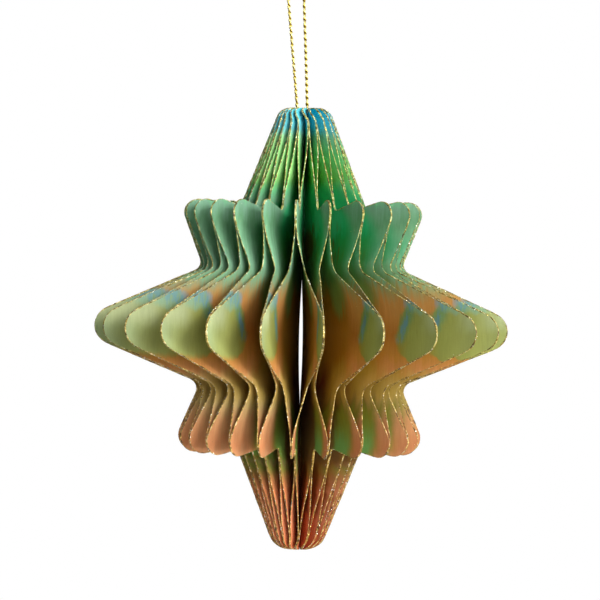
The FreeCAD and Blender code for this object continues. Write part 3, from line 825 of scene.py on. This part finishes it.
def edging(leaf, rng):
    """The bead along the leaf's cut edge and the grains stuck to it."""
    mid, nrm = leaf.at(edge_rz[:, 0], edge_rz[:, 1])
    tan = unit(np.gradient(mid, axis=0))
    nrm = unit(nrm - tan * np.sum(nrm * tan, 1, keepdims=True))
    out = np.cross(tan, nrm)
    ctr = np.stack([np.zeros(len(mid)), np.zeros(len(mid)), mid[:, 2]], 1)
    flip = np.median(np.sum(out * unit(mid - ctr), 1)) < 0
    if flip:
        out = -out
    n = len(mid)
    lump = 1.0 + 0.12 * rng.standard_normal((n, SIDES)).clip(-2, 2)
    swell = 1.0 + 0.14 * np.interp(np.arange(n), np.arange(0, n, 5), rng.standard_normal(len(np.arange(0, n, 5))).clip(-1.5, 1.5))
    wide = 0.120 * swell
    tall = 0.150 * swell
    ang = np.arange(SIDES) * 2 * math.pi / SIDES
    ca, sa = np.cos(ang), np.sin(ang)
    v = (mid[:, None, :] + out[:, None, :] * (tall[:, None, None] * ca[None, :, None] * lump[:, :, None] - 0.070)
         + nrm[:, None, :] * (wide[:, None, None] * sa[None, :, None] * lump[:, :, None]))
    verts = v.reshape(-1, 3)
    i = np.arange(n - 1)[:, None]
    k = np.arange(SIDES)[None, :]
    k2 = (k + 1) % SIDES
    quad = np.stack([i * SIDES + k, i * SIDES + k2, (i + 1) * SIDES + k2, (i + 1) * SIDES + k], -1).reshape(-1, 4)
    faces = [tuple(q) for q in quad]
    faces += [tuple(range(SIDES))[::-1], tuple((n - 1) * SIDES + np.arange(SIDES))]
    index = [0] * len(faces)
    # grains
    m_ = 620
    at_ = rng.uniform(0, n - 1.001, m_)
    lo = at_.astype(int)
    f_ = (at_ - lo)[:, None]
    base = mid[lo] * (1 - f_) + mid[lo + 1] * f_
    phi = rng.uniform(-2.1, 2.1, m_)
    w_, t_ = wide[lo] * 0.98, tall[lo] * 0.98
    pos = base + out[lo] * (t_ * np.cos(phi) - 0.070)[:, None] + nrm[lo] * (w_ * np.sin(phi))[:, None]
    size = rng.choice([0.06, 0.10, 0.14], m_, p=[0.36, 0.40, 0.24]) * rng.uniform(0.85, 1.15, m_)
    size = np.where(edge_ease[lo] > 0, np.minimum(size, 0.10), size)
    away = out[lo] * np.cos(phi)[:, None] + nrm[lo] * np.sin(phi)[:, None]
    e3 = unit(away + 0.55 * rng.standard_normal((m_, 3)))
    q = unit(np.cross(e3, rng.standard_normal((m_, 3))))
    e2 = np.cross(e3, q)
    flatten = rng.uniform(0.12, 0.30, m_)
    gv = (OCT_V[None, :, 0, None] * q[:, None, :] + OCT_V[None, :, 1, None] * e2[:, None, :]
          + OCT_V[None, :, 2, None] * e3[:, None, :] * flatten[:, None, None]) * size[:, None, None] + pos[:, None, :]
    off = len(verts)
    verts = np.concatenate([verts, gv.reshape(-1, 3)])
    gf = (OCT_F[None] + (off + 6 * np.arange(m_))[:, None, None]).reshape(-1, 3)
    faces += [tuple(q_) for q_ in gf]
    # painted light and shade: the +X leaves get fewer pale grains and extra deep ones, the -X leaves extra pale ones
    right_shade, left_glint = max(0.0, right_edge_shade(leaf)), max(0.0, -right_edge_shade(leaf))
    kind = rng.choice([1, 2, 3], m_, p=[0.34 + 0.18 * right_shade - 0.06 * left_glint, 0.42 - 0.24 * right_shade + 0.14 * left_glint, 0.24 + 0.06 * right_shade - 0.08 * left_glint])
    index += list(np.repeat(kind, 8))
    # a few strays on the faces
    m_ = 16
    pick = rng.integers(6, n - 6, m_)
    inward = rng.exponential(0.9, m_) + 0.3
    sr = edge_rz[pick] - edge_out[pick] * inward[:, None]
    sr[:, 0] = np.maximum(sr[:, 0], CORE + 0.5)
    smid, snrm = leaf.at(sr[:, 0], sr[:, 1])
    pos = smid + snrm * (rng.choice([-1.0, 1.0], m_) * (THK / 2 + 0.02))[:, None]
    size = rng.uniform(0.06, 0.12, m_)
    gv = OCT_V[None] * size[:, None, None] * np.array([1.0, 1.0, 0.6]) + pos[:, None, :]
    off = len(verts)
    verts = np.concatenate([verts, gv.reshape(-1, 3)])
    gf = (OCT_F[None] + (off + 6 * np.arange(m_))[:, None, None]).reshape(-1, 3)
    faces += [tuple(q_) for q_ in gf]
    index += list(np.repeat(rng.choice([1, 2, 3], m_, p=[0.5, 0.3, 0.2]), 8))
    return to_part(verts), faces, index, len(quad)


half = THK / 2
# where the core is shut the inner edges meet
shut_by = np.clip((np.abs(flat[:, 1] - SLIT_MID) - SLIT_REACH) / 1.5, 0, 1) * np.exp(-(flat[:, 0] - CORE) / 0.8)
for leaf in leaves:
    mid, nrm = leaf.at(flat[:, 0], flat[:, 1])
    thick = (half + 0.018 * shut_by)[:, None]
    front, back = to_part(mid + nrm * thick), to_part(mid - nrm * thick)
    verts = np.concatenate([front, back])
    fa = [tuple(t) for t in tri]
    fb = [tuple(t[::-1] + NV) for t in tri]
    # which winding faces along +nrm
    p = verts[list(fa[0])]
    if np.cross(p[1] - p[0], p[2] - p[0]) @ nrm[fa[0][0]] < 0:
        fa = [t[::-1] for t in fa]
        fb = [t[::-1] for t in fb]
        rim = [(i, i + NV, (i + 1) % NB + NV, (i + 1) % NB)[::-1] for i in range(NB)]
    else:
        rim = [(i, i + NV, (i + 1) % NB + NV, (i + 1) % NB) for i in range(NB)]
    name = "leaf_%02d" % (leaf.k + 1)
    ob = new_mesh(name + "_paper", verts, fa + fb + rim, [mat_paper])
    ob.data.polygons.foreach_set("use_smooth", [True] * len(ob.data.polygons))
    # the cut edge is square, so its shading doesn't run onto the faces
    ends = np.empty(2 * len(ob.data.edges), np.int32)
    ob.data.edges.foreach_get("vertices", ends)
    ends = ends.reshape(-1, 2)
    side, turn = ends // NV, ends % NV
    step = np.abs(turn[:, 0] - turn[:, 1])
    square = (side[:, 0] == side[:, 1]) & (turn < NB).all(1) & ((step == 1) | (step == NB - 1))
    sharp = ob.data.attributes.new("sharp_edge", "BOOLEAN", "EDGE")
    sharp.data.foreach_set("value", square)
    where = ob.data.attributes.new("print_place", "FLOAT_VECTOR", "POINT")
    place = np.zeros((2 * NV, 3), np.float32)
    place[:, 0] = np.tile(flat[:, 0], 2)
    place[:, 1] = np.tile(flat[:, 1], 2)
    place[:, 2] = leaf.k
    where.data.foreach_set("vector", place.ravel())
    face_of = ob.data.attributes.new("print_side", "FLOAT", "POINT")
    face_of.data.foreach_set("value", np.repeat(np.array([0.0, 1.0], np.float32), NV))
    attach(ob, "root")
    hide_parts(name)
    rng = np.random.default_rng(4100 + leaf.k)
    v, f, index, soft = edging(leaf, rng)
    gl = new_mesh("glitter_%02d" % (leaf.k + 1), v, f, [mat_bead] + GRAINS, index)
    gl.data.polygons.foreach_set("use_smooth", [i < soft for i in range(len(gl.data.polygons))])
    # how much painted shade darkens this leaf's glue
    edge_shade_at = gl.data.attributes.new("right_edge_shade", "FLOAT", "POINT")
    edge_shade_at.data.foreach_set("value", np.full(len(gl.data.vertices), max(0.0, right_edge_shade(leaf)), np.float32))
    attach(gl, "root")

for piece, node in ((cord, "hanging_cord"), (knot, "cord_knot")):
    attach(piece, "root")
    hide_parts(node)

# ------------------------------------------------------- stage and lighting
floor_me = bpy.data.meshes.new("floor")
n = 64
floor_me.from_pydata([(1.6 * math.cos(2 * math.pi * i / n), 1.6 * math.sin(2 * math.pi * i / n), -0.42) for i in range(n)], [], [tuple(range(n))])
mat_floor, nt, bsdf = material("pale_floor")
F = Nodes(nt)
grain = F.noise(nt.nodes.new("ShaderNodeTexCoord").outputs["Object"], 60.0, 4.0, 0.6)
nt.links.new(F.colours(grain, [(0.3, (226, 226, 223)), (0.7, (234, 234, 232))], (0.0, 1.0)), bsdf.inputs["Base Color"])
nt.links.new(F.ramp(grain, 0.3, 0.7, "LINEAR", (0.6, 0.8)), bsdf.inputs["Roughness"])
# it glows a little to the eye only, so it stays pale away from the lamps, and
# from underneath it is not there
glow = nt.nodes.new("ShaderNodeEmission")
glow.inputs[0].default_value = (1, 1, 0.985, 1)
path = nt.nodes.new("ShaderNodeLightPath")
nt.links.new(F.mul(path.outputs["Is Camera Ray"], 0.62), glow.inputs[1])
both = nt.nodes.new("ShaderNodeAddShader")
nt.links.new(bsdf.outputs[0], both.inputs[0])
nt.links.new(glow.outputs[0], both.inputs[1])
clear = nt.nodes.new("ShaderNodeBsdfTransparent")
under = nt.nodes.new("ShaderNodeMixShader")
nt.links.new(nt.nodes.new("ShaderNodeNewGeometry").outputs["Backfacing"], under.inputs[0])
nt.links.new(both.outputs[0], under.inputs[1])
nt.links.new(clear.outputs[0], under.inputs[2])
nt.links.new(under.outputs[0], [q for q in nt.nodes if q.type == "OUTPUT_MATERIAL"][0].inputs[0])
floor_me.materials.append(mat_floor)
floor = bpy.data.objects.new("floor", floor_me)
scene.collection.objects.link(floor)

world = bpy.data.worlds.new("studio")
scene.world = world
world.use_nodes = True
wn = world.node_tree
for n_ in list(wn.nodes):
    wn.nodes.remove(n_)
wout = wn.nodes.new("ShaderNodeOutputWorld")
seen = wn.nodes.new("ShaderNodeBackground")
fill = wn.nodes.new("ShaderNodeBackground")
shine = wn.nodes.new("ShaderNodeBackground")
mix_g = wn.nodes.new("ShaderNodeMixShader")
mix_c = wn.nodes.new("ShaderNodeMixShader")
lp = wn.nodes.new("ShaderNodeLightPath")
seen.inputs[0].default_value = (1, 1, 1, 1)
seen.inputs[1].default_value = 1.0
fill.inputs[0].default_value = (1, 1, 1, 1)
fill.inputs[1].default_value = 0.03
# what shiny grains and foil mirror: a bright studio above and to the right
W = Nodes(wn)
wdir = wn.nodes.new("ShaderNodeTexCoord")
wsep = wn.nodes.new("ShaderNodeSeparateXYZ")
wn.links.new(wdir.outputs["Generated"], wsep.inputs[0])
toward = W.add(W.mul(wsep.outputs[0], 0.55), W.add(W.mul(wsep.outputs[2], 0.65), W.mul(wsep.outputs[1], -0.35)))
shine.inputs[0].default_value = (1, 0.98, 0.94, 1)
wn.links.new(W.ramp(toward, -0.30, 0.75, to=(0.30, 1.7)), shine.inputs[1])
wn.links.new(lp.outputs["Is Glossy Ray"], mix_g.inputs[0])
wn.links.new(fill.outputs[0], mix_g.inputs[1])
wn.links.new(shine.outputs[0], mix_g.inputs[2])
wn.links.new(lp.outputs["Is Camera Ray"], mix_c.inputs[0])
wn.links.new(mix_g.outputs[0], mix_c.inputs[1])
wn.links.new(seen.outputs[0], mix_c.inputs[2])
wn.links.new(mix_c.outputs[0], wout.inputs[0])
scene.view_settings.view_transform = "Standard"


def area(name, where, size, power, target=(0, 0, -0.09)):
    la = bpy.data.lights.new(name, "AREA")
    la.shape = "DISK"
    la.size = size
    la.energy = power
    ob = bpy.data.objects.new(name, la)
    scene.collection.objects.link(ob)
    ob.location = where
    d = Vector(target) - Vector(where)
    ob.rotation_mode = "QUATERNION"
    ob.rotation_quaternion = d.to_track_quat("-Z", "Y")
    return ob



def around(az, el, dist=1.4):
    """A place for a lamp: azimuth from the front towards +X, elevation."""
    a, e = math.radians(az), math.radians(el)
    return (dist * math.sin(a) * math.cos(e), -dist * math.cos(a) * math.cos(e), -0.09 + dist * math.sin(e))


area("key_box", around(30, 15), 0.45, 10.7)
area("front_box", around(15, 15), 0.45, 4.4)
area("low_box", around(55, -10), 0.45, 11.0)
area("under_box", around(30, -10), 0.45, 1.2)
area("side_box", around(55, 15), 0.45, 1.6)
area("high_box", around(55, 40), 0.45, 3.5)
area("rim_box", around(100, 40), 0.45, 2.1)
area("left_fill", around(-40, -10), 0.45, 1.2)
area("bounce_box", around(25, -50), 0.6, 1.8)
area("back_right", around(155, 20), 0.6, 7.0)
area("back_left", around(-150, 10), 0.6, 7.0)
